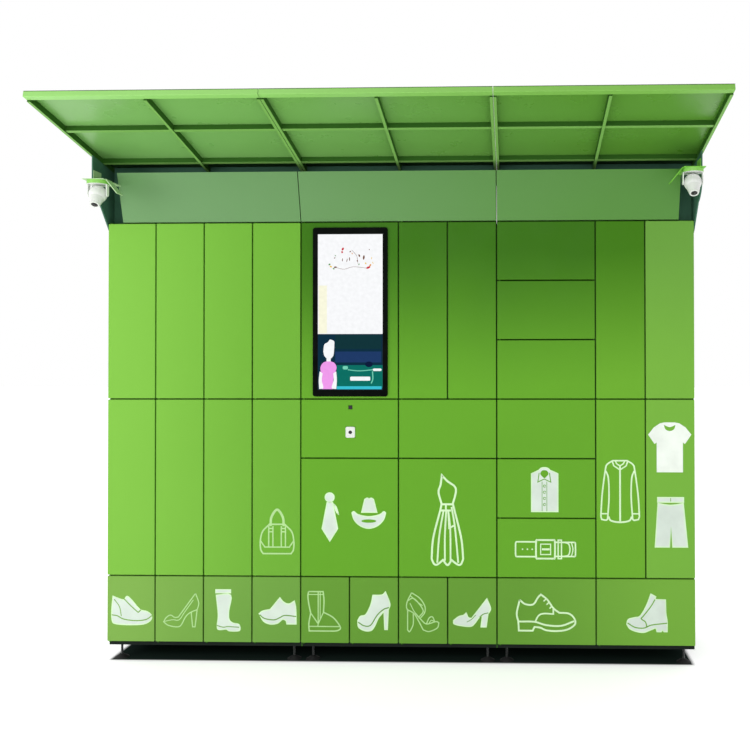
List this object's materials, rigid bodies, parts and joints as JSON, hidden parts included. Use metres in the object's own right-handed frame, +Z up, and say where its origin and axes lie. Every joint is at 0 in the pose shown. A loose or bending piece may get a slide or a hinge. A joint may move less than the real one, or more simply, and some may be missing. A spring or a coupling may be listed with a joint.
{
  "type": "parcel locker",
  "caption": "Wide freestanding parcel locker with hinged compartment doors, a portrait touch screen door, a scanner door, a leaning fascia and a sloping canopy.",
  "frame": {"origin": "on the floor, under the middle of the whole object's box", "axes": "+Z up, the doors face -Y, +X to the right of a person facing the doors"},
  "size_m": [2.73, 1.2035, 2.4344],
  "materials": {
    "door_paint": "satin powder coat",
    "carcass_paint": "satin powder coat",
    "fascia_paint": "satin powder coat",
    "canopy_paint": "satin powder coat",
    "arm_paint": "satin powder coat",
    "zinc": "zinc plated",
    "black_plastic": "gloss",
    "screen_glass": "gloss display face",
    "white_plastic": "semi-gloss",
    "dark_glass": "polished",
    "black_rubber": "matt"
  },
  "bodies": {
    "cabinet": {"side_panels": "carcass_paint", "back_panels": "carcass_paint", "roof_floor_panels": "carcass_paint", "column_dividers": "carcass_paint", "shelves": "carcass_paint", "front_frame": "carcass_paint", "hinge_strips": "zinc", "electric_locks": "black_plastic", "base_frame": "carcass_paint", "levelling_feet": "black_rubber", "fascia_panels": "fascia_paint", "canopy_front_beams": "canopy_paint", "canopy_frame": "canopy_paint", "canopy_soffit": "canopy_paint", "canopy_roof": "canopy_paint", "side_arms": "arm_paint", "camera_brackets": "canopy_paint", "camera_bases": "white_plastic", "cable_gland": "black_plastic"},
    "door_upper_1": {"door_upper_1": "door_paint"},
    "door_upper_2": {"door_upper_2": "door_paint"},
    "door_upper_3": {"door_upper_3": "door_paint"},
    "door_upper_4": {"door_upper_4": "door_paint"},
    "door_upper_7": {"door_upper_7": "door_paint"},
    "door_upper_8": {"door_upper_8": "door_paint"},
    "door_upper_11": {"door_upper_11": "door_paint"},
    "door_upper_12": {"door_upper_12": "door_paint"},
    "door_upper_9_1": {"door_upper_9_1": "door_paint"},
    "door_upper_9_2": {"door_upper_9_2": "door_paint"},
    "door_upper_9_3": {"door_upper_9_3": "door_paint"},
    "door_middle_1": {"door_middle_1": "door_paint"},
    "door_middle_2": {"door_middle_2": "door_paint"},
    "door_middle_3": {"door_middle_3": "door_paint"},
    "door_middle_4": {"door_middle_4": "door_paint"},
    "door_middle_11": {"door_middle_11": "door_paint"},
    "door_middle_12": {"door_middle_12": "door_paint"},
    "door_middle_5": {"door_middle_5": "door_paint"},
    "door_middle_7": {"door_middle_7": "door_paint"},
    "door_middle_7_top": {"door_middle_7_top": "door_paint"},
    "door_middle_9_1": {"door_middle_9_1": "door_paint"},
    "door_middle_9_2": {"door_middle_9_2": "door_paint"},
    "door_middle_9_3": {"door_middle_9_3": "door_paint"},
    "door_lower_1": {"door_lower_1": "door_paint"},
    "door_lower_2": {"door_lower_2": "door_paint"},
    "door_lower_3": {"door_lower_3": "door_paint"},
    "door_lower_4": {"door_lower_4": "door_paint"},
    "door_lower_5": {"door_lower_5": "door_paint"},
    "door_lower_6": {"door_lower_6": "door_paint"},
    "door_lower_7": {"door_lower_7": "door_paint"},
    "door_lower_8": {"door_lower_8": "door_paint"},
    "door_lower_9": {"door_lower_9": "door_paint"},
    "door_lower_11": {"door_lower_11": "door_paint"},
    "display_door": {"display_door": "door_paint", "display_frame": "black_plastic", "display_screen": "screen_glass"},
    "scanner_door": {"scanner_door": "door_paint", "scanner_housing": "white_plastic", "scanner_glass": "dark_glass"},
    "camera_head_left": {"camera_head_left": "white_plastic"},
    "camera_head_right": {"camera_head_right": "white_plastic"}
  },
  "joints": [
    {"name": "camera_left_tilt", "type": "hinge", "parent": "cabinet", "child": "camera_head_left", "pos_m": [-1.302, -0.1375, 2.12], "axis": [-1, 0, 0], "range_deg": [-25, 40]},
    {"name": "camera_right_tilt", "type": "hinge", "parent": "cabinet", "child": "camera_head_right", "pos_m": [1.302, -0.1375, 2.154], "axis": [-1, 0, 0], "range_deg": [-25, 40]},
    {"name": "display_door_hinge", "type": "hinge", "parent": "cabinet", "child": "display_door", "pos_m": [-0.435, 0.0575, 1.6145], "axis": [0, 0, -1], "range_deg": [0, 110]},
    {"name": "scanner_door_hinge", "type": "hinge", "parent": "cabinet", "child": "scanner_door", "pos_m": [-0.435, 0.0575, 1.0725], "axis": [0, 0, -1], "range_deg": [0, 110]},
    {"name": "door_upper_1_hinge", "type": "hinge", "parent": "cabinet", "child": "door_upper_1", "pos_m": [-1.335, 0.0575, 1.6145], "axis": [0, 0, -1], "range_deg": [0, 110]},
    {"name": "door_upper_2_hinge", "type": "hinge", "parent": "cabinet", "child": "door_upper_2", "pos_m": [-1.11, 0.0575, 1.6145], "axis": [0, 0, -1], "range_deg": [0, 110]},
    {"name": "door_upper_3_hinge", "type": "hinge", "parent": "cabinet", "child": "door_upper_3", "pos_m": [-0.885, 0.0575, 1.6145], "axis": [0, 0, -1], "range_deg": [0, 110]},
    {"name": "door_upper_4_hinge", "type": "hinge", "parent": "cabinet", "child": "door_upper_4", "pos_m": [-0.66, 0.0575, 1.6145], "axis": [0, 0, -1], "range_deg": [0, 110]},
    {"name": "door_upper_7_hinge", "type": "hinge", "parent": "cabinet", "child": "door_upper_7", "pos_m": [0.015, 0.0575, 1.6145], "axis": [0, 0, -1], "range_deg": [0, 110]},
    {"name": "door_upper_8_hinge", "type": "hinge", "parent": "cabinet", "child": "door_upper_8", "pos_m": [0.24, 0.0575, 1.6145], "axis": [0, 0, -1], "range_deg": [0, 110]},
    {"name": "door_upper_11_hinge", "type": "hinge", "parent": "cabinet", "child": "door_upper_11", "pos_m": [0.915, 0.0575, 1.6145], "axis": [0, 0, -1], "range_deg": [0, 110]},
    {"name": "door_upper_12_hinge", "type": "hinge", "parent": "cabinet", "child": "door_upper_12", "pos_m": [1.14, 0.0575, 1.6145], "axis": [0, 0, -1], "range_deg": [0, 110]},
    {"name": "door_upper_9_1_hinge", "type": "hinge", "parent": "cabinet", "child": "door_upper_9_1", "pos_m": [0.465, 0.0575, 1.3435], "axis": [0, 0, -1], "range_deg": [0, 110]},
    {"name": "door_upper_9_2_hinge", "type": "hinge", "parent": "cabinet", "child": "door_upper_9_2", "pos_m": [0.465, 0.0575, 1.6145], "axis": [0, 0, -1], "range_deg": [0, 110]},
    {"name": "door_upper_9_3_hinge", "type": "hinge", "parent": "cabinet", "child": "door_upper_9_3", "pos_m": [0.465, 0.0575, 1.8855], "axis": [0, 0, -1], "range_deg": [0, 110]},
    {"name": "door_middle_1_hinge", "type": "hinge", "parent": "cabinet", "child": "door_middle_1", "pos_m": [-1.335, 0.0575, 0.8015], "axis": [0, 0, -1], "range_deg": [0, 110]},
    {"name": "door_middle_2_hinge", "type": "hinge", "parent": "cabinet", "child": "door_middle_2", "pos_m": [-1.11, 0.0575, 0.8015], "axis": [0, 0, -1], "range_deg": [0, 110]},
    {"name": "door_middle_3_hinge", "type": "hinge", "parent": "cabinet", "child": "door_middle_3", "pos_m": [-0.885, 0.0575, 0.8015], "axis": [0, 0, -1], "range_deg": [0, 110]},
    {"name": "door_middle_4_hinge", "type": "hinge", "parent": "cabinet", "child": "door_middle_4", "pos_m": [-0.66, 0.0575, 0.8015], "axis": [0, 0, -1], "range_deg": [0, 110]},
    {"name": "door_middle_11_hinge", "type": "hinge", "parent": "cabinet", "child": "door_middle_11", "pos_m": [0.915, 0.0575, 0.8015], "axis": [0, 0, -1], "range_deg": [0, 110]},
    {"name": "door_middle_12_hinge", "type": "hinge", "parent": "cabinet", "child": "door_middle_12", "pos_m": [1.14, 0.0575, 0.8015], "axis": [0, 0, -1], "range_deg": [0, 110]},
    {"name": "door_middle_5_hinge", "type": "hinge", "parent": "cabinet", "child": "door_middle_5", "pos_m": [-0.435, 0.0575, 0.666], "axis": [0, 0, -1], "range_deg": [0, 110]},
    {"name": "door_middle_7_hinge", "type": "hinge", "parent": "cabinet", "child": "door_middle_7", "pos_m": [0.015, 0.0575, 0.666], "axis": [0, 0, -1], "range_deg": [0, 110]},
    {"name": "door_middle_7_top_hinge", "type": "hinge", "parent": "cabinet", "child": "door_middle_7_top", "pos_m": [0.015, 0.0575, 1.0725], "axis": [0, 0, -1], "range_deg": [0, 110]},
    {"name": "door_middle_9_1_hinge", "type": "hinge", "parent": "cabinet", "child": "door_middle_9_1", "pos_m": [0.465, 0.0575, 0.5305], "axis": [0, 0, -1], "range_deg": [0, 110]},
    {"name": "door_middle_9_2_hinge", "type": "hinge", "parent": "cabinet", "child": "door_middle_9_2", "pos_m": [0.465, 0.0575, 0.8015], "axis": [0, 0, -1], "range_deg": [0, 110]},
    {"name": "door_middle_9_3_hinge", "type": "hinge", "parent": "cabinet", "child": "door_middle_9_3", "pos_m": [0.465, 0.0575, 1.0725], "axis": [0, 0, -1], "range_deg": [0, 110]},
    {"name": "door_lower_1_hinge", "type": "hinge", "parent": "cabinet", "child": "door_lower_1", "pos_m": [-1.335, 0.0575, 0.2425], "axis": [0, 0, -1], "range_deg": [0, 110]},
    {"name": "door_lower_2_hinge", "type": "hinge", "parent": "cabinet", "child": "door_lower_2", "pos_m": [-1.11, 0.0575, 0.2425], "axis": [0, 0, -1], "range_deg": [0, 110]},
    {"name": "door_lower_3_hinge", "type": "hinge", "parent": "cabinet", "child": "door_lower_3", "pos_m": [-0.885, 0.0575, 0.2425], "axis": [0, 0, -1], "range_deg": [0, 110]},
    {"name": "door_lower_4_hinge", "type": "hinge", "parent": "cabinet", "child": "door_lower_4", "pos_m": [-0.66, 0.0575, 0.2425], "axis": [0, 0, -1], "range_deg": [0, 110]},
    {"name": "door_lower_5_hinge", "type": "hinge", "parent": "cabinet", "child": "door_lower_5", "pos_m": [-0.435, 0.0575, 0.2425], "axis": [0, 0, -1], "range_deg": [0, 110]},
    {"name": "door_lower_6_hinge", "type": "hinge", "parent": "cabinet", "child": "door_lower_6", "pos_m": [-0.21, 0.0575, 0.2425], "axis": [0, 0, -1], "range_deg": [0, 110]},
    {"name": "door_lower_7_hinge", "type": "hinge", "parent": "cabinet", "child": "door_lower_7", "pos_m": [0.015, 0.0575, 0.2425], "axis": [0, 0, -1], "range_deg": [0, 110]},
    {"name": "door_lower_8_hinge", "type": "hinge", "parent": "cabinet", "child": "door_lower_8", "pos_m": [0.24, 0.0575, 0.2425], "axis": [0, 0, -1], "range_deg": [0, 110]},
    {"name": "door_lower_9_hinge", "type": "hinge", "parent": "cabinet", "child": "door_lower_9", "pos_m": [0.465, 0.0575, 0.2425], "axis": [0, 0, -1], "range_deg": [0, 110]},
    {"name": "door_lower_11_hinge", "type": "hinge", "parent": "cabinet", "child": "door_lower_11", "pos_m": [0.915, 0.0575, 0.2425], "axis": [0, 0, -1], "range_deg": [0, 110]}
  ]
}
